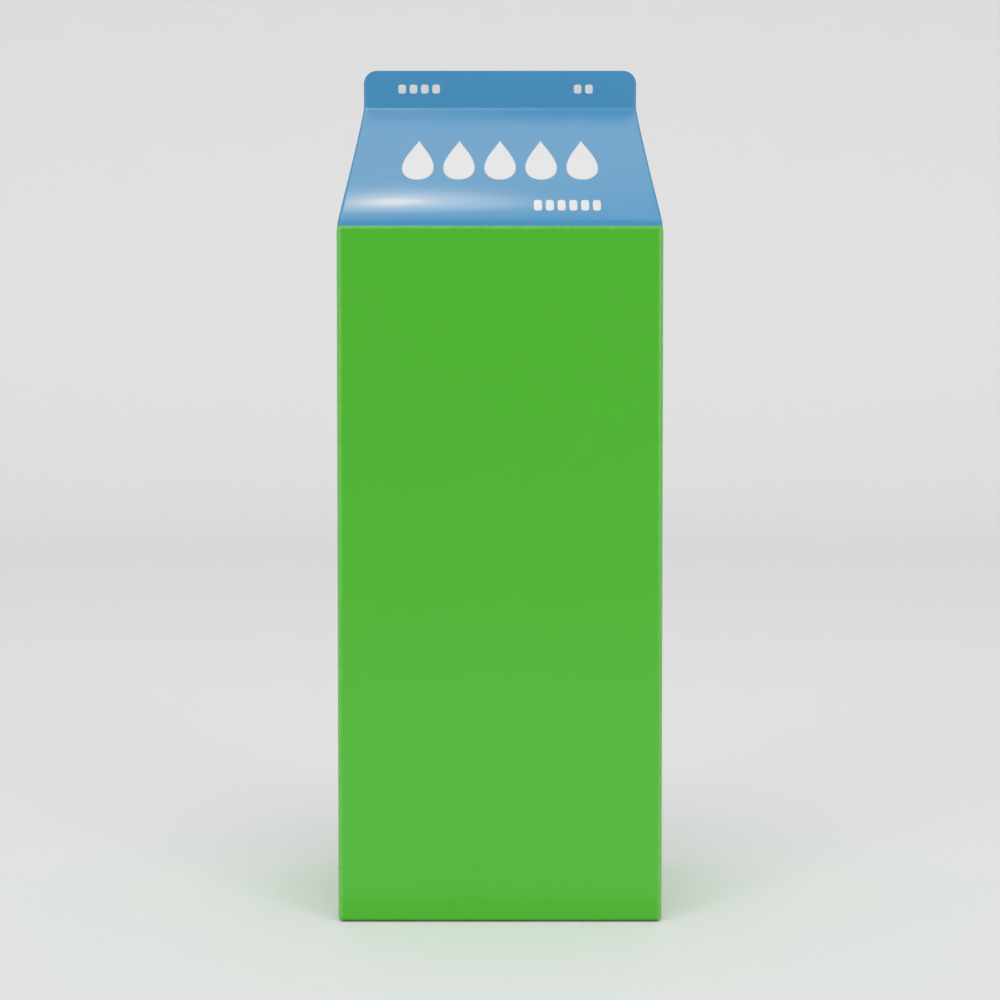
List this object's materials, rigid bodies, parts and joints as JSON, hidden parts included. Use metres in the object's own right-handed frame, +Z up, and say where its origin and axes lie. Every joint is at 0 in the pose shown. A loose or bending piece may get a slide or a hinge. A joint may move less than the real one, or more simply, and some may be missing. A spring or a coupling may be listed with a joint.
{
  "type": "gable-top milk carton",
  "caption": "Shut gable-top carton of coated board: square upright body, sloping roof with a tucked recess at each end, and a flat sealed fin along the ridge.",
  "frame": {"origin": "middle of the base, on the surface that the carton stands on", "axes": "+Z up the carton to the fin, -Y out of the front panel, and the ridge and fin run along X"},
  "size_m": [0.076, 0.076, 0.204],
  "materials": {
    "body_print": "green offset print under a satin polyethylene film",
    "roof_print": "blue offset print under a satin polyethylene film",
    "white_print": "white ink under a satin polyethylene film",
    "bare_board": "bleached board bare of print, at the raw cut edges and on the base flaps"
  },
  "bodies": {
    "root": {"carton": "body_print"}
  },
  "joints": []
}
